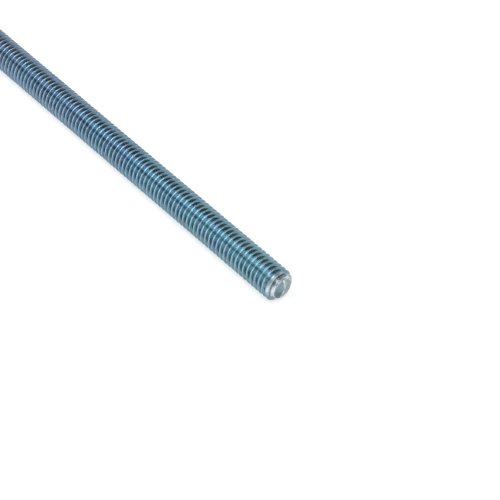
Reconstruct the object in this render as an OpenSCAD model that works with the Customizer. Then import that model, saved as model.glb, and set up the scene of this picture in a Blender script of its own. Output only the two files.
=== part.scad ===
// Threaded rod: a straight steel bar with an M6 x 1 thread along its whole length.
// The rod lies along X, with the origin on its axis, midway between the two end faces.
// The thread is a run of vee grooves, one to each pitch, with the flats and the flank
// angle of the ISO metric form. A bevel at each end leads a nut onto the first crest.

/* [Rod] */
// Length from one end face to the other
rod_length = 300; // [20:1:400]
// Major diameter, over the crests of the thread
major_d = 6; // [5:0.1:12]

/* [Thread] */
// Distance from one crest to the next
pitch = 1; // [0.7:0.05:1.5]
// Angle between the two flanks of a groove
flank_angle = 60; // [50:1:70]
// Width of the flat land on top of each crest
crest_flat = 0.125; // [0.05:0.005:0.2]
// Width of the flat floor at the bottom of each groove
root_flat = 0.165; // [0.05:0.005:0.25]

/* [Ends] */
// Diameter of the flat face at each end
face_d = 4; // [2:0.1:4.5]
// Angle of the end bevel, measured from the axis
bevel_angle = 45; // [30:1:60]

/* [Hidden] */
// Depth of a groove, from the two flats and the slope of the flanks between them
flank_run = (pitch - crest_flat - root_flat) / 2;
thread_depth = flank_run / tan(flank_angle / 2);
root_d = major_d - 2 * thread_depth;
// Length of the bevel along the rod
bevel_length = (major_d - face_d) / 2 / tan(bevel_angle);
// Crests counted from the middle of the rod to just past each end face
crests_each_way = ceil(rod_length / 2 / pitch) + 1;
round_fn = 96;

// Outline of one crest in the half plane: up a flank, along the land, down the next flank
function crest_points(station) = [
    [root_d / 2, station - crest_flat / 2 - flank_run],
    [major_d / 2, station - crest_flat / 2],
    [major_d / 2, station + crest_flat / 2],
    [root_d / 2, station + crest_flat / 2 + flank_run]
];

// Half section of an endless thread, a little longer than the rod
module thread_section() {
    half = crests_each_way * pitch;
    polygon(concat(
        [[0, -half - pitch]],
        [for (i = [-crests_each_way : crests_each_way]) each crest_points(i * pitch)],
        [[0, half + pitch]]
    ));
}

// Half section of the bevelled blank that the thread is rolled on
module blank_section() {
    half = rod_length / 2;
    polygon([
        [0, -half],
        [face_d / 2, -half],
        [major_d / 2, -half + bevel_length],
        [major_d / 2, half - bevel_length],
        [face_d / 2, half],
        [0, half]
    ]);
}

// The whole rod, turned from the part of the thread section that the blank holds
module threaded_rod() {
    color("lightsteelblue")
        rotate([0, 90, 0])
            rotate_extrude($fn = round_fn)
                intersection() {
                    thread_section();
                    blank_section();
                }
}

threaded_rod();
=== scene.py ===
# %% [markdown]
# # A threaded rod in bright zinc
# One piece of steel: an M6 x 1 thread runs from end to end, and each end has a bevel and a flat, sheared
# face. The solid in the frame has its thread as rings. The look needs the real thing, one groove that winds
# along the whole rod, because its slant shows in every crest line. So the rod is modelled again here, in
# the same box as that solid.

# %% Load the frame
import math

import bmesh
import bpy
from mathutils import Matrix, Vector


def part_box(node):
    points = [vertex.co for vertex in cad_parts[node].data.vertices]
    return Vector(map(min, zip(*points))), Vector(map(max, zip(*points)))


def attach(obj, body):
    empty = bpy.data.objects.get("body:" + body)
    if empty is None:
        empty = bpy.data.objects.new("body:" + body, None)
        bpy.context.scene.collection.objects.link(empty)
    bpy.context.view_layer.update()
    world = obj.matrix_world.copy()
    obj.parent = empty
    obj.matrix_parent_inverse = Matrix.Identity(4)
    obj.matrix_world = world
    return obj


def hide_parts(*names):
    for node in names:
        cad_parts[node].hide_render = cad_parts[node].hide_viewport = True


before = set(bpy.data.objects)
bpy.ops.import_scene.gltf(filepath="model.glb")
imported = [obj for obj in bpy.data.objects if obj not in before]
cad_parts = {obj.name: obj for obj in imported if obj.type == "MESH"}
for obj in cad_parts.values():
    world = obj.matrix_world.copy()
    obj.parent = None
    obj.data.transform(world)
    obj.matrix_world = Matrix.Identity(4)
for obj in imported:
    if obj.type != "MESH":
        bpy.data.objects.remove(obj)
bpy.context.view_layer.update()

MM = 0.001
NODE = "threaded_rod"
low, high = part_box(NODE)
HALF_LENGTH = (high.x - low.x) / 2
CREST_R = min(high.y, high.z)
print(f"rod: {2 * HALF_LENGTH / MM:.1f} mm long, {2 * CREST_R / MM:.2f} mm over the crests")

# %% [markdown]
# ## The camera
# The camera's place was worked out from the slant and the spacing of the crest lines, which are 1 mm apart.
# It stands a little over 300 mm from the rod and looks down on it at 46 degrees, with a long lens, so the
# lines stay nearly parallel. A camera is placed most simply by what it looks at, the direction it looks
# from, and how far.

# %% Camera
VIEW_AZIMUTH = math.radians(49.51)
VIEW_ELEVATION = math.radians(46.07)
VIEW_DISTANCE = 305.8 * MM
LENS_MM = 131.38
SENSOR_MM = 36
# What is nearer or further than these, in metres, isn't drawn
SEEN_FROM = 0.01
SEEN_TO = 20
# The axis point near the end face that lies right of and below the middle of the picture, and by how much
SIGHTED_POINT = Vector((HALF_LENGTH - 2.35 * MM, 0, 0))
SIGHTED_RIGHT = 3.921 * MM
SIGHTED_DOWN = 5.206 * MM

back = Vector((
    math.sin(VIEW_AZIMUTH) * math.cos(VIEW_ELEVATION),
    -math.cos(VIEW_AZIMUTH) * math.cos(VIEW_ELEVATION),
    math.sin(VIEW_ELEVATION),
))
right = Vector((math.cos(VIEW_AZIMUTH), math.sin(VIEW_AZIMUTH), 0))
up = back.cross(right)
camera = bpy.data.objects.new("camera", bpy.data.cameras.new("camera"))
bpy.context.scene.collection.objects.link(camera)
camera.data.sensor_width = SENSOR_MM
camera.data.lens = LENS_MM
camera.data.clip_start = SEEN_FROM
camera.data.clip_end = SEEN_TO
aim = SIGHTED_POINT - SIGHTED_RIGHT * right + SIGHTED_DOWN * up
camera.matrix_world = Matrix.Translation(aim + VIEW_DISTANCE * back) @ Matrix((
    (right.x, up.x, back.x, 0),
    (right.y, up.y, back.y, 0),
    (right.z, up.z, back.z, 0),
    (0, 0, 0, 1),
))
bpy.context.scene.camera = camera
print("camera at", [round(c / MM, 1) for c in camera.matrix_world.translation], "mm")

# %% [markdown]
# ## Helpers for materials
# A colour is picked as it looks on a screen, in sRGB, and a shader works in linear light, so one function
# turns a hex value to linear. One more adds a node, sets it and wires it, which keeps each material short
# to read.


# %% Colour and node helpers
def linear(hex_colour, alpha=1.0):
    """Linear RGBA of an sRGB hex colour."""
    channels = [int(hex_colour[i:i + 2], 16) / 255 for i in (1, 3, 5)]
    return [c / 12.92 if c <= 0.04045 else ((c + 0.055) / 1.055) ** 2.4 for c in channels] + [alpha]


def add_node(tree, kind, settings=None, inputs=None):
    """Adds a node. settings are its own fields. inputs are values, or output sockets that are wired in."""
    node = tree.nodes.new(kind)
    for name, value in (settings or {}).items():
        setattr(node, name, value)
    for name, value in (inputs or {}).items():
        if isinstance(value, bpy.types.NodeSocket):
            tree.links.new(value, node.inputs[name])
        else:
            node.inputs[name].default_value = value
    return node


def new_material(name):
    """A material with an empty node tree and its output node."""
    material = bpy.data.materials.new(name)
    material.use_nodes = True
    material.node_tree.nodes.clear()
    return material, add_node(material.node_tree, "ShaderNodeOutputMaterial")


# %% [markdown]
# ## Floor
# The rod lies on a plain white table. The paint gives back about two thirds of the light that falls on it,
# and a weak glow makes up the rest, so that the table comes out white and still keeps the rod's soft
# shadow. More lamps could do the same, but those would light the rod as well. Light Path limits the glow to
# what the camera and polished surfaces see.

# %% Floor
FLOOR_HALF_SIDE = 3.0

floor_mesh = bpy.data.meshes.new("floor")
bm = bmesh.new()
bmesh.ops.create_grid(bm, x_segments=1, y_segments=1, size=FLOOR_HALF_SIDE)
bmesh.ops.translate(bm, verts=bm.verts, vec=(0, 0, -CREST_R))
bm.to_mesh(floor_mesh)
bm.free()
floor = bpy.data.objects.new("floor", floor_mesh)
bpy.context.scene.collection.objects.link(floor)
print("floor at", round(-CREST_R / MM, 2), "mm")

# %% Matt white table paint
# A rolled coat of matt emulsion, which gives the eye an even white with no gloss
TABLE_WHITE = "#D2D2D2"
GLOW_TO_CAMERA = 0.60
GLOW_TO_METAL = 0.35

material, output = new_material("matt white table paint")
tree = material.node_tree
paint = add_node(tree, "ShaderNodeBsdfDiffuse", inputs={"Color": linear(TABLE_WHITE)})
path = add_node(tree, "ShaderNodeLightPath")
reflected = add_node(tree, "ShaderNodeMath", {"operation": "MAXIMUM"},
                     {0: path.outputs["Is Glossy Ray"], 1: path.outputs["Is Transmission Ray"]})
to_metal = add_node(tree, "ShaderNodeMath", {"operation": "MULTIPLY"},
                    {0: reflected.outputs[0], 1: GLOW_TO_METAL})
strength = add_node(tree, "ShaderNodeMath", {"operation": "MULTIPLY_ADD"},
                    {0: path.outputs["Is Camera Ray"], 1: GLOW_TO_CAMERA, 2: to_metal.outputs[0]})
glow = add_node(tree, "ShaderNodeEmission", inputs={"Color": (1, 1, 1, 1), "Strength": strength.outputs[0]})
both = add_node(tree, "ShaderNodeAddShader", inputs={0: paint.outputs[0], 1: glow.outputs[0]})
tree.links.new(both.outputs[0], output.inputs["Surface"])
floor_mesh.materials.append(material)
print(f"table paint: gives back {linear(TABLE_WHITE)[0]:.2f} of the light")

# %% [markdown]
# ## Light
# Polished metal shows its surroundings more than its own colour, so the light is planned as what the rod
# reflects. A round bar mirrors the whole room in a narrow strip. The room is a middle grey, which keeps
# most of the grooves dark, and it turns white only just above the floor, where the table would meet a white
# wall. A large soft box overhead makes the bright line along the rod, and a smaller one widens it to the
# right. A panel on the left lights the next strip down, and the grey gap between them shows as a thin dark
# line. A small box past the near end puts a glint on the bevel.

# %% Room
ROOM_GREY = 0.50
HORIZON_WHITE = 1.0
# Sine of the elevation where the white starts to fade, and where the room is grey
HORIZON_FADE = (0.085, 0.12)

world = bpy.data.worlds.new("studio room")
world.use_nodes = True
bpy.context.scene.world = world
tree = world.node_tree
tree.nodes.clear()
place = add_node(tree, "ShaderNodeTexCoord")
split = add_node(tree, "ShaderNodeSeparateXYZ", inputs={"Vector": place.outputs["Generated"]})
room = add_node(tree, "ShaderNodeMapRange", {"interpolation_type": "SMOOTHSTEP"}, {
    "Value": split.outputs["Z"], "From Min": HORIZON_FADE[0], "From Max": HORIZON_FADE[1],
    "To Min": HORIZON_WHITE, "To Max": ROOM_GREY,
})
light = add_node(tree, "ShaderNodeBackground", inputs={"Color": room.outputs[0], "Strength": 1.0})
add_node(tree, "ShaderNodeOutputWorld", inputs={"Surface": light.outputs[0]})
print(f"room: white up to {math.degrees(math.asin(HORIZON_FADE[0])):.0f} degrees above the floor, then grey")

# %% Lamps
LAMP_DISTANCE = 3.0


def soft_box(name, direction, side, radiance):
    """A square lamp in that direction from the near end, radiance times as bright as white."""
    lamp = bpy.data.lights.new(name, "AREA")
    lamp.shape = "SQUARE"
    lamp.size = side
    lamp.energy = radiance * math.pi * side * side
    holder = bpy.data.objects.new(name, lamp)
    bpy.context.scene.collection.objects.link(holder)
    towards = Vector(direction).normalized()
    holder.location = Vector((HALF_LENGTH, 0, 0)) + LAMP_DISTANCE * towards
    holder.rotation_mode = "QUATERNION"
    holder.rotation_quaternion = towards.to_track_quat("Z", "Y")
    on_floor = radiance * side * side * towards.z / (math.pi * LAMP_DISTANCE ** 2)
    print(f"{name}: gives white paint {on_floor:.2f} of its full brightness")


soft_box("key_box", direction=(-0.50, -0.172, 0.85), side=1.64, radiance=4.0)
soft_box("top_box", direction=(0.15, 0.25, 0.955), side=1.2, radiance=2.5)
soft_box("side_panel", direction=(-0.53, -0.78, 0.33), side=1.8, radiance=2.5)
soft_box("end_box", direction=(0.84, -0.06, 0.55), side=1.1, radiance=2.1)

# %% [markdown]
# ## One pitch of the thread
# A rolled thread has 60 degree flanks, a narrow rounded crest and a rounded root. The outline of one pitch
# is drawn once, as a line of five straight edges from the middle of one groove floor to the middle of the
# next. Bevelling its four inner corners rounds the crest over its whole land and the root over its whole
# floor.

# %% Sizes of the thread
PITCH = 1.0 * MM
FLANK_SLOPE = math.radians(60) / 2
CREST_LAND = PITCH / 8
ROOT_FLOOR = PITCH / 6
FLANK_RUN = (PITCH - CREST_LAND - ROOT_FLOOR) / 2
ROOT_R = CREST_R - FLANK_RUN / math.tan(FLANK_SLOPE)
print(f"groove: {(CREST_R - ROOT_R) / MM:.3f} mm deep, root diameter {2 * ROOT_R / MM:.2f} mm")

# %% Outline of one pitch
# Points nearer to each other than this become one
MERGE = 0.002 * MM


def outline_of_one_pitch(bm):
    """Draws the outline from one groove floor to the next, in the plane of the axis and +Y."""
    corners = [
        (0, ROOT_R),
        (ROOT_FLOOR / 2, ROOT_R),
        (ROOT_FLOOR / 2 + FLANK_RUN, CREST_R),
        (ROOT_FLOOR / 2 + FLANK_RUN + CREST_LAND, CREST_R),
        (PITCH - ROOT_FLOOR / 2, ROOT_R),
        (PITCH, ROOT_R),
    ]
    points = [bm.verts.new((x, r, 0)) for x, r in corners]
    for a, b in zip(points, points[1:]):
        bm.edges.new((a, b))
    crest, root = points[2:4], [points[1], points[4]]
    for pair, width, segments in ((crest, CREST_LAND / 2, 2), (root, ROOT_FLOOR / 2, 1)):
        bmesh.ops.bevel(bm, geom=pair, offset=width, offset_type="OFFSET", affect="VERTICES",
                        segments=segments, profile=0.5, material=-1, clamp_overlap=True)
    bmesh.ops.remove_doubles(bm, verts=bm.verts, dist=MERGE)


bm = bmesh.new()
outline_of_one_pitch(bm)
print("outline of one pitch:", len(bm.edges), "edges")

# %% [markdown]
# ## The helix
# A thread is one groove that moves a pitch along the bar in each turn. A screw or an array modifier could
# make it. A spin with a shift in each step does the same, and leaves a plain mesh that can be cut and
# shaped afterwards. The spin makes one turn here, and copies of that turn, each a pitch further on, are the
# rest of the rod. Each copying doubles the row, because adding 304 turns one at a time would be slow.

# %% Spin one turn
# More steps in a turn would look no rounder, and the whole rod has to stay under 200,000 triangles
STEPS = 36
# Turns past each end face, which are cut off again
SPARE_TURNS = 2
TURNS = round(2 * HALF_LENGTH / PITCH) + 2 * SPARE_TURNS

bmesh.ops.spin(bm, geom=bm.verts[:] + bm.edges[:], cent=(0, 0, 0), axis=(1, 0, 0),
               dvec=(PITCH / STEPS, 0, 0), angle=math.tau, steps=STEPS, use_merge=False, use_duplicate=False)
bmesh.ops.translate(bm, verts=bm.verts, vec=(-HALF_LENGTH - SPARE_TURNS * PITCH, 0, 0))
print("one turn:", len(bm.faces), "faces")


# %% Repeat the turn along the rod
def repeat_along(bm, step, times):
    """Fills a row along +X with copies of what the bmesh holds, one step apart."""
    done = 1
    while done < times:
        more = min(done, times - done)
        faces = bm.faces[:len(bm.faces) * more // done]
        edges = {e for f in faces for e in f.edges}
        verts = {v for f in faces for v in f.verts}
        copy = bmesh.ops.duplicate(bm, geom=list(verts) + list(edges) + faces)
        moved = [g for g in copy["geom"] if isinstance(g, bmesh.types.BMVert)]
        bmesh.ops.translate(bm, verts=moved, vec=(step * done, 0, 0))
        done += more
    bmesh.ops.remove_doubles(bm, verts=bm.verts, dist=MERGE)


repeat_along(bm, PITCH, TURNS)
for side in (1, -1):
    bmesh.ops.bisect_plane(bm, geom=bm.verts[:] + bm.edges[:] + bm.faces[:], dist=MERGE,
                           plane_co=(side * HALF_LENGTH, 0, 0), plane_no=(side, 0, 0), clear_outer=True)
print("whole thread:", len(bm.faces), "faces, open only at the ends")

# %% [markdown]
# ## The two ends
# The bar is cropped to length and its ends are bevelled, so the last crest thins out and stops at a round
# face about 4 mm across. Cropping and handling leave the last crests blunt and thick, and the blade leaves
# a shallow notch just behind the rim. The mesh is split finer near each end. Then its points are moved in
# code: the sides of the worn crests swell out, and each point that stands outside the bevel is drawn in to
# it, as a lathe tool would cut it.

# %% Finer mesh at the ends
FINE_STRETCH = 2.6 * MM
BEVEL_LENGTH = 1.0 * MM
# Distances from the end face, in mm, where the mesh is cut into rings, so that the bevel can follow them
BEVEL_RINGS = (0.07, 0.16, 0.26, 0.375, 0.50, 0.625, 0.75, 0.875, 1.00)


def from_end(v):
    """How far a point is from the nearer end face."""
    return HALF_LENGTH - abs(v.co.x)


def cut(bm, faces, point, normal, clear_outer=False):
    """Cuts faces along a plane and gives back the faces that they are now."""
    edges = {e for f in faces for e in f.edges}
    verts = {v for f in faces for v in f.verts}
    result = bmesh.ops.bisect_plane(bm, geom=list(verts) + list(edges) + list(faces), dist=MERGE,
                                    plane_co=point, plane_no=normal, clear_outer=clear_outer)
    return [g for g in result["geom"] if isinstance(g, bmesh.types.BMFace)]


near_ends = [e for e in bm.edges if max(from_end(v) for v in e.verts) < FINE_STRETCH]
bmesh.ops.subdivide_edges(bm, edges=near_ends, cuts=1, use_grid_fill=True)
for side in (1, -1):
    bevel_faces = [f for f in bm.faces if side * f.calc_center_median().x > HALF_LENGTH - 2 * BEVEL_LENGTH]
    for distance in BEVEL_RINGS:
        bevel_faces = cut(bm, bevel_faces, (side * (HALF_LENGTH - distance * MM), 0, 0), (1, 0, 0))
print("with finer ends:", len(bm.faces), "faces")

# %% Worn crests and bevels
FACE_R = CREST_R - BEVEL_LENGTH
WORN_STRETCH = 1.6 * MM
WORN_FADE = 0.8 * MM
# 1 leaves the side of a crest straight, and less makes it swell
WORN_SIDE = 0.85
BLUNTING = 0.04 * MM
NOTCH_PLACE = 0.16 * MM
NOTCH_HALF_WIDTH = 0.10 * MM
NOTCH_DEPTH = 0.09 * MM


def worn_radius(radius, distance):
    """The radius of a point after wear, the notch and the bevel, by its distance from the end face."""
    worn = min(max((WORN_STRETCH + WORN_FADE - distance) / WORN_FADE, 0), 1)
    height = min(max((radius - ROOT_R) / (CREST_R - ROOT_R), 0), 1)
    blunt_r = ROOT_R + height ** WORN_SIDE * (CREST_R - BLUNTING - ROOT_R)
    notch = NOTCH_DEPTH * max(1 - abs(distance - NOTCH_PLACE) / NOTCH_HALF_WIDTH, 0)
    return min((1 - worn) * radius + worn * blunt_r, FACE_R + distance - notch)


for v in bm.verts:
    if from_end(v) < FINE_STRETCH:
        radius = math.hypot(v.co.y, v.co.z)
        scale = worn_radius(radius, from_end(v)) / radius
        v.co.y *= scale
        v.co.z *= scale
print(f"end face {2 * FACE_R / MM:.1f} mm across")

# %% [markdown]
# ## The end faces
# A cropped bar isn't flat at its end. The blade shears it part of the way and the rest breaks off, which
# leaves a ridge across the face. Each face starts as one polygon over the open rim. At the near end, two
# slanting cuts then take a thin wedge off beside the ridge, and each cut is closed with a polygon again, so
# the ridge is where flat faces meet. The far end is hidden in most views and keeps its plain face.

# %% Close the ends
# Points of a rim nearer than this are merged, so that its polygon has no tiny edges
RIM_STEP = 0.06 * MM


def close_rim(bm, side):
    """Closes the open rim at one end with a polygon."""
    rim = [v for v in bm.verts if v.is_boundary and side * v.co.x > 0]
    bmesh.ops.remove_doubles(bm, verts=rim, dist=RIM_STEP)
    rim_edges = [e for e in bm.edges if e.is_boundary and side * e.verts[0].co.x > 0]
    bmesh.ops.edgeloop_fill(bm, edges=rim_edges)


close_rim(bm, 1)
close_rim(bm, -1)
print("open edges left:", sum(e.is_boundary for e in bm.edges))

# %% Ridge of the sheared face
# The ridge bends once. These are the points where it starts, bends and ends, as (y, z) on the face.
RIDGE_TOP = Vector((0.33, 1.34)) * MM
RIDGE_BEND = Vector((0.60, -0.30)) * MM
RIDGE_FOOT = Vector((-0.14, -1.32)) * MM
WEDGE_SLOPE = math.radians(5.5)
# The cuts and the finishes of the end faces stay this near to the end
END_ZONE = 0.5 * MM

for start, end in ((RIDGE_TOP, RIDGE_BEND), (RIDGE_BEND, RIDGE_FOOT)):
    along = (end - start).normalized() * math.sin(WEDGE_SLOPE)
    slant = Vector((math.cos(WEDGE_SLOPE), -along.y, along.x))
    near_end = [f for f in bm.faces if f.calc_center_median().x > HALF_LENGTH - END_ZONE]
    cut(bm, near_end, (HALF_LENGTH, start.x, start.y), slant, clear_outer=True)
    close_rim(bm, 1)
    print(f"ridge: {(end - start).length / MM:.1f} mm of it")

# %% Raised edges of the end faces
# The rim and the ridge stand a little proud of the faces, and are rubbed bright, and their pale colour also
# paints the glint along these edges
EDGE_WIDTH = 0.13 * MM
EDGE_HEIGHT = 0.02 * MM
# How squarely a face looks along the rod, where 1 is fully: any end face, and one without a slope
FACES_OUT = 0.9
IS_LEVEL = 0.9999
PLATING, SHEARED, BROKEN, EDGE_WEAR_AND_GLINT = range(4)

bmesh.ops.recalc_face_normals(bm, faces=bm.faces)
end_faces = [f for f in bm.faces if from_end(f.verts[0]) < END_ZONE and abs(f.normal.x) > FACES_OUT]
level = [f for f in end_faces if abs(f.normal.x) > IS_LEVEL]
slanting = [f for f in end_faces if f not in level]
for region, index in ((level, SHEARED), (slanting, BROKEN)):
    edge_faces = bmesh.ops.inset_region(bm, faces=region, thickness=EDGE_WIDTH, depth=-EDGE_HEIGHT,
                                        use_boundary=True, use_even_offset=True)["faces"]
    for face in region:
        face.material_index = index
    for face in edge_faces:
        face.material_index = EDGE_WEAR_AND_GLINT
    print(len(region), "end faces with", len(edge_faces), "faces along their edges")

# %% [markdown]
# ## Smooth and sharp
# Shading blends the normals of faces that meet, which rounds the narrow crest and the groove floor nicely.
# The long flanks have to look flat, because light bounces twice between them, and that gives a thread its
# deep colour. So the two borders of each flank are marked sharp, and the blend stops there.

# %% Normals
# How far a flank's normal leans along the rod, with some slack. On crests and groove floors it leans less,
# and on the end faces more.
FLANK_SLACK = 0.06
STEEP = math.cos(FLANK_SLOPE) - FLANK_SLACK
ENDWISE = 0.95


def is_flank(face):
    """True for a face on the side of a groove, by how far its normal leans along the rod."""
    return STEEP < abs(face.normal.x) < ENDWISE


# Faces with more than four corners are split here, so that the split makes no slivers
many_sided = [f for f in bm.faces if len(f.verts) > 4]
bmesh.ops.triangulate(bm, faces=many_sided, quad_method="BEAUTY", ngon_method="BEAUTY")
bmesh.ops.recalc_face_normals(bm, faces=bm.faces)
for face in bm.faces:
    face.smooth = face.material_index in (PLATING, EDGE_WEAR_AND_GLINT)
for edge in bm.edges:
    if is_flank(edge.link_faces[0]) != is_flank(edge.link_faces[1]):
        edge.smooth = False
open_edges = sum(not e.is_manifold for e in bm.edges)
triangles = sum(len(f.verts) - 2 for f in bm.faces)
print(f"closed rod: {triangles} triangles, {open_edges} open edges, volume {bm.calc_volume() * 1e9:.0f} mm3")

# %% [markdown]
# ## An unrolled map
# The materials below need no map, because they read places on the rod itself. Other programs get them as a
# picture laid on a map, though. An automatic map would cut a thread into thousands of scraps. A rod unrolls
# cleanly like a label on a tin, in five strips one above the other, with the end faces laid beside them.

# %% Unroll the rod
STRIPS = 5
STRIP_LENGTH = 2 * HALF_LENGTH / STRIPS
# On the map, whose sides are 1: how far apart the strips are, how high, and the margin round them
STRIP_STEP = 0.172
STRIP_HEIGHT = 0.166
MARGIN = 0.006
# An end face is a disc on the map, and the widest one is 2.3 mm in radius
DISC_MIDDLE = 0.93
DISC_R = 0.06
DISC_SCALE = DISC_R / (2.3 * MM)

unrolled = bm.loops.layers.uv.new("OFBake")
for face in bm.faces:
    centre = face.calc_center_median()
    facing = math.atan2(centre.z, centre.y)
    strip = min(int((centre.x + HALF_LENGTH) / STRIP_LENGTH), STRIPS - 1)
    for loop in face.loops:
        point = loop.vert.co
        if face.material_index == PLATING:
            # The angle is counted from the face's own middle, so that no face is torn where the strip ends
            angle = facing + math.remainder(math.atan2(point.z, point.y) - facing, math.tau)
            u = (point.x + HALF_LENGTH) / STRIP_LENGTH - strip
            v = (angle + math.pi) / math.tau
            u = MARGIN + u * (1 - 2 * MARGIN)
            v = MARGIN + v * STRIP_HEIGHT + strip * STRIP_STEP
            loop[unrolled].uv = (u, v)
        else:
            disc = DISC_MIDDLE if point.x > 0 else 1 - DISC_MIDDLE
            loop[unrolled].uv = (disc + point.y * DISC_SCALE, DISC_MIDDLE + point.z * DISC_SCALE)
print(f"map: {STRIPS} strips of {STRIP_LENGTH / MM:.0f} mm")

# %% The rod
rod_mesh = bpy.data.meshes.new("rod_with_helical_thread")
bm.to_mesh(rod_mesh)
bm.free()
rod = bpy.data.objects.new("rod_with_helical_thread", rod_mesh)
bpy.context.scene.collection.objects.link(rod)
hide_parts(NODE)
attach(rod, "root")
print(rod.name, [round(side / MM, 2) for side in rod.dimensions], "mm")

# %% [markdown]
# ## Zinc on the thread
# The steel is barrel plated with bright zinc and dipped in a blue passivate. The dip leaves a film thinner
# than a wavelength of light, and its thickness tints the metal teal, blue or a greyish violet. The film
# drained along the rod, so its tint drifts over some centimetres. In a groove light strikes it twice, which
# deepens the tint, while the rubbed crests show pale zinc. All that could be painted on maps. Here it comes
# from the place on the rod, that is how far along and how far from the axis, and from noises in real mm.

# %% Places on the rod
TO_MM = 1 / MM
CREST_MM = CREST_R * TO_MM
ROOT_MM = ROOT_R * TO_MM
END_MM = HALF_LENGTH * TO_MM

material, output = new_material("bright zinc plating, blue passivated")
rod_mesh.materials.append(material)
tree = material.node_tree
place = add_node(tree, "ShaderNodeTexCoord")
in_mm = add_node(tree, "ShaderNodeVectorMath", {"operation": "MULTIPLY"},
                 {0: place.outputs["Object"], 1: (TO_MM, TO_MM, TO_MM)})
split = add_node(tree, "ShaderNodeSeparateXYZ", inputs={0: in_mm.outputs[0]})
from_middle = add_node(tree, "ShaderNodeMath", {"operation": "ABSOLUTE"}, {0: split.outputs["X"]})
across = add_node(tree, "ShaderNodeVectorMath", {"operation": "MULTIPLY"},
                  {0: in_mm.outputs[0], 1: (0, 1, 1)})
radius = add_node(tree, "ShaderNodeVectorMath", {"operation": "LENGTH"}, {0: across.outputs[0]})
print(f"radius {ROOT_MM:.2f} mm in the grooves and {CREST_MM:.2f} mm on the crests")

# %% Tint of the film
TEAL_FILM = "#7397A2"
BLUE_FILM = "#678A9D"
VIOLET_FILM = "#738399"
# How far along the drift, from 0 to 1, each tint is purest
TEAL_AT = 0.1
BLUE_AT = 0.45
VIOLET_AT = 0.9
# In mm: how far it is from teal to violet, and how far behind the rod's middle it is teal
DRIFT_LENGTH = 90
TEAL_BEHIND = 30
# The drift isn't even: ripples 14 mm long move it to and fro by up to 0.4
RIPPLE_LENGTH = 14
RIPPLE_HEIGHT = 0.8

shifted = add_node(tree, "ShaderNodeMath", {"operation": "ADD"}, {0: split.outputs["X"], 1: TEAL_BEHIND})
to_and_fro = add_node(tree, "ShaderNodeMath", {"operation": "PINGPONG"},
                      {0: shifted.outputs[0], 1: DRIFT_LENGTH})
ripples = add_node(tree, "ShaderNodeTexNoise", {"noise_dimensions": "1D"},
                   {"W": split.outputs["X"], "Scale": 1 / RIPPLE_LENGTH, "Detail": 2.0})
ripple_shift = add_node(tree, "ShaderNodeMath", {"operation": "MULTIPLY_ADD"},
                        {0: ripples.outputs[0], 1: RIPPLE_HEIGHT, 2: -RIPPLE_HEIGHT / 2})
drift = add_node(tree, "ShaderNodeMath", {"operation": "MULTIPLY_ADD"},
                 {0: to_and_fro.outputs[0], 1: 1 / DRIFT_LENGTH, 2: ripple_shift.outputs[0]})
film = add_node(tree, "ShaderNodeValToRGB", inputs={0: drift.outputs[0]})
tints = film.color_ramp.elements
tints[0].position = TEAL_AT
tints[0].color = linear(TEAL_FILM)
tints[1].position = VIOLET_AT
tints[1].color = linear(VIOLET_FILM)
tints.new(BLUE_AT).color = linear(BLUE_FILM)
print("tint: teal, blue and violet over", DRIFT_LENGTH, "mm")

# %% Patches in the film
# Patches as wide as one or two grooves, where the film is thinner or thicker, brighter or duller
PATCH_LENGTH = 1.6
PATCH_SHADE = (0.84, 1.12)
PATCH_ROUGHNESS = (0.15, 0.26)
# A noise hardly leaves the range from 0.3 to 0.7. A narrower range, spread out over the same shades, gives
# its patches more contrast.
SOFT_NOISE = (0.30, 0.70)
CLEAR_NOISE = (0.32, 0.68)
HARD_NOISE = (0.35, 0.65)

patches = add_node(tree, "ShaderNodeTexNoise",
                   inputs={"Vector": in_mm.outputs[0], "Scale": 1 / PATCH_LENGTH, "Detail": 2.0})
patch_shade = add_node(tree, "ShaderNodeMapRange", inputs={
    "Value": patches.outputs[0], "From Min": SOFT_NOISE[0], "From Max": SOFT_NOISE[1],
    "To Min": PATCH_SHADE[0], "To Max": PATCH_SHADE[1],
})
patch_roughness = add_node(tree, "ShaderNodeMapRange", inputs={
    "Value": patches.outputs[0], "From Min": SOFT_NOISE[0], "From Max": SOFT_NOISE[1],
    "To Min": PATCH_ROUGHNESS[0], "To Max": PATCH_ROUGHNESS[1],
})
groove = add_node(tree, "ShaderNodeVectorMath", {"operation": "SCALE"},
                  {0: film.outputs[0], "Scale": patch_shade.outputs[0]})
print(f"patches: {PATCH_LENGTH} mm")

# %% Rubbed crests
# The film is rubbed off the top of each crest, further down in some scuffs than in others. Real scuffs are
# finer still, and 0.7 mm is about the least that shows in the picture. The values are in mm.
CREST_ZINC = "#A0BCCF"
SCUFF_LENGTH = 0.7
RUBBED_LOW = CREST_MM - 0.14
RUBBED_HIGH = CREST_MM - 0.05
RUBBED_FADE = 0.05

scuffs = add_node(tree, "ShaderNodeTexNoise",
                  inputs={"Vector": in_mm.outputs[0], "Scale": 1 / SCUFF_LENGTH, "Detail": 1.0})
rubbed_from = add_node(tree, "ShaderNodeMapRange", inputs={
    "Value": scuffs.outputs[0], "From Min": SOFT_NOISE[0], "From Max": SOFT_NOISE[1],
    "To Min": RUBBED_LOW, "To Max": RUBBED_HIGH,
})
above = add_node(tree, "ShaderNodeMath", {"operation": "SUBTRACT"},
                 {0: radius.outputs["Value"], 1: rubbed_from.outputs[0]})
rubbed = add_node(tree, "ShaderNodeMapRange", {"interpolation_type": "SMOOTHSTEP"},
                  {"Value": above.outputs[0], "From Min": 0.0, "From Max": RUBBED_FADE})
# A Mix of colours has them at inputs 6 and 7, and the result at output 2
thread_colour = add_node(tree, "ShaderNodeMix", {"data_type": "RGBA"},
                         {0: rubbed.outputs[0], 6: groove.outputs[0], 7: linear(CREST_ZINC)})
print(f"crests rubbed from {RUBBED_LOW:.2f} to {RUBBED_HIGH:.2f} mm in radius")

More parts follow.
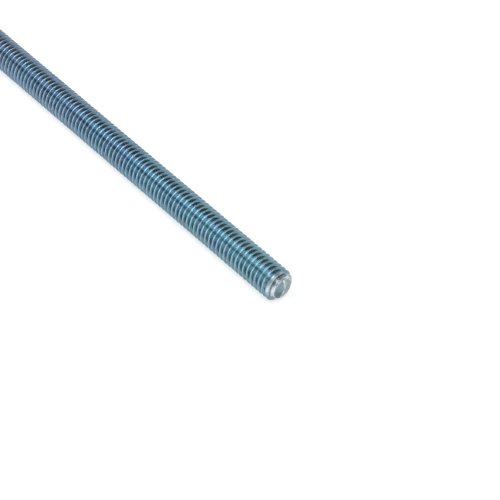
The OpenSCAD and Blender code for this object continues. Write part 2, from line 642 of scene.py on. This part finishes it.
# %% Where the ends are dull
# The last crests and the bevel were cut and knocked, so the film is gone there, in patches about 2 mm wide
# which start 1.9 to 0.7 mm from the end face. A 4D noise has a number W, which picks its pattern.
WEAR_LENGTH = 2.0
WEAR_PATTERN = 1.7
DULL_EARLY = END_MM - 1.9
DULL_LATE = END_MM - 0.7
DULL_FADE = 0.4

wear = add_node(tree, "ShaderNodeTexNoise", {"noise_dimensions": "4D"},
                {"Vector": in_mm.outputs[0], "W": WEAR_PATTERN, "Scale": 1 / WEAR_LENGTH, "Detail": 1.0})
dull_from = add_node(tree, "ShaderNodeMapRange", inputs={
    "Value": wear.outputs[0], "From Min": HARD_NOISE[0], "From Max": HARD_NOISE[1],
    "To Min": DULL_EARLY, "To Max": DULL_LATE,
})
past = add_node(tree, "ShaderNodeMath", {"operation": "SUBTRACT"},
                {0: from_middle.outputs[0], 1: dull_from.outputs[0]})
dull = add_node(tree, "ShaderNodeMapRange", {"interpolation_type": "SMOOTHSTEP"},
                {"Value": past.outputs[0], "From Min": 0.0, "From Max": DULL_FADE})
print(f"dull from {DULL_EARLY:.1f} to {DULL_LATE:.1f} mm from the middle")

# %% Colour of the dull ends
# Bare zinc is pale on the crests and the bevel. A little film is left in the last groove. Knocks about 1.3
# mm wide make it lighter and darker, partly as smeared zinc and partly as painted shade of dents and painted
# glints.
END_ZINC = "#C4D1D8"
END_GROOVE_ZINC = "#6F8496"
KNOCK_LENGTH = 1.3
KNOCK_PATTERN = 57.2
KNOCK_SMEAR_AND_SHADE = (0.32, 1.25)
DULL_ROUGHNESS = 0.24
# In mm: the radius from which it is fully pale, and where along the bevel the groove's floor turns pale too
PALE_R = ROOT_MM + 0.28
PALE_FROM = END_MM - 0.5
PALE_TO = END_MM - 0.3

on_crest = add_node(tree, "ShaderNodeMapRange", {"interpolation_type": "SMOOTHSTEP"},
                    {"Value": radius.outputs["Value"], "From Min": ROOT_MM, "From Max": PALE_R})
on_bevel = add_node(tree, "ShaderNodeMapRange", {"interpolation_type": "SMOOTHSTEP"},
                    {"Value": from_middle.outputs[0], "From Min": PALE_FROM, "From Max": PALE_TO})
outer = add_node(tree, "ShaderNodeMath", {"operation": "MAXIMUM"},
                 {0: on_crest.outputs[0], 1: on_bevel.outputs[0]})
bare = add_node(tree, "ShaderNodeMix", {"data_type": "RGBA"},
                {0: outer.outputs[0], 6: linear(END_GROOVE_ZINC), 7: linear(END_ZINC)})
knocks = add_node(tree, "ShaderNodeTexNoise", {"noise_dimensions": "4D"},
                  {"Vector": in_mm.outputs[0], "W": KNOCK_PATTERN, "Scale": 1 / KNOCK_LENGTH, "Detail": 1.0})
# Painted shade and painted glints: the knock noise darkens and lightens the bare zinc's colour, besides
# smears
knock_smear_and_shade = add_node(tree, "ShaderNodeMapRange", inputs={
    "Value": knocks.outputs[0], "From Min": CLEAR_NOISE[0], "From Max": CLEAR_NOISE[1],
    "To Min": KNOCK_SMEAR_AND_SHADE[0], "To Max": KNOCK_SMEAR_AND_SHADE[1],
})
knocked_and_shaded = add_node(tree, "ShaderNodeVectorMath", {"operation": "SCALE"},
                   {0: bare.outputs[2], "Scale": knock_smear_and_shade.outputs[0]})
print(f"knocks: {KNOCK_LENGTH} mm")

# %% Shader of the plating
colour = add_node(tree, "ShaderNodeMix", {"data_type": "RGBA"},
                  {0: dull.outputs[0], 6: thread_colour.outputs[2], 7: knocked_and_shaded.outputs[0]})
roughness = add_node(tree, "ShaderNodeMix", {"data_type": "FLOAT"},
                     {0: dull.outputs[0], 2: patch_roughness.outputs[0], 3: DULL_ROUGHNESS})
zinc = add_node(tree, "ShaderNodeBsdfPrincipled", inputs={
    "Base Color": colour.outputs[2], "Metallic": 1.0, "Roughness": roughness.outputs[0],
})
tree.links.new(zinc.outputs[0], output.inputs["Surface"])
print("plating:", len(tree.nodes), "nodes")

# %% [markdown]
# ## Zinc on the end faces
# The bar was cropped before it was plated. The sheared part is smooth and took a thin teal film, cloudy and
# duller than on the thread. The broken part is finely grained, so it looks paler still. The raised edges
# are rubbed to bright zinc, and their pale colour also paints a glint along them. The three finishes differ
# only in colour, mottles and gloss, so one loop makes them, in the order of the faces' material numbers.

# %% Finishes of the end faces
MOTTLE_SHADE = (0.62, 1.30)
MOTTLE_ROUGHNESS = 0.12

# Each finish has its name, its colour, the width of its mottles in mm, the number of their pattern and its
# roughness
for name, hex_colour, mottle_mm, pattern, rough in (
    ("dull zinc on the sheared face", "#829BA4", 1.4, 114.4, 0.34),
    ("pale zinc on the broken face", "#ABB7BF", 0.8, 40.3, 0.42),
    # The edges' pale colour is rubbed zinc and also a painted glint along them
    ("worn zinc with painted glint on edges", "#DCE5EB", 0.6, 0.0, 0.26),
):
    material, output = new_material(name)
    rod_mesh.materials.append(material)
    tree = material.node_tree
    place = add_node(tree, "ShaderNodeTexCoord")
    mottles = add_node(tree, "ShaderNodeTexNoise", {"noise_dimensions": "4D"}, {
        "Vector": place.outputs["Object"], "W": pattern, "Scale": 1 / (mottle_mm * MM), "Detail": 2.0,
    })
    shade = add_node(tree, "ShaderNodeMapRange", inputs={
        "Value": mottles.outputs[0], "From Min": CLEAR_NOISE[0], "From Max": CLEAR_NOISE[1],
        "To Min": MOTTLE_SHADE[0], "To Max": MOTTLE_SHADE[1],
    })
    colour = add_node(tree, "ShaderNodeVectorMath", {"operation": "SCALE"},
                      {0: linear(hex_colour)[:3], "Scale": shade.outputs[0]})
    roughness = add_node(tree, "ShaderNodeMapRange", inputs={
        "Value": mottles.outputs[0], "To Min": rough - MOTTLE_ROUGHNESS, "To Max": rough + MOTTLE_ROUGHNESS,
    })
    zinc = add_node(tree, "ShaderNodeBsdfPrincipled", inputs={
        "Base Color": colour.outputs[0], "Metallic": 1.0, "Roughness": roughness.outputs[0],
    })
    tree.links.new(zinc.outputs[0], output.inputs["Surface"])
print("finishes:", [m.name for m in rod_mesh.materials])

# %% View settings
bpy.context.scene.view_settings.view_transform = "Standard"
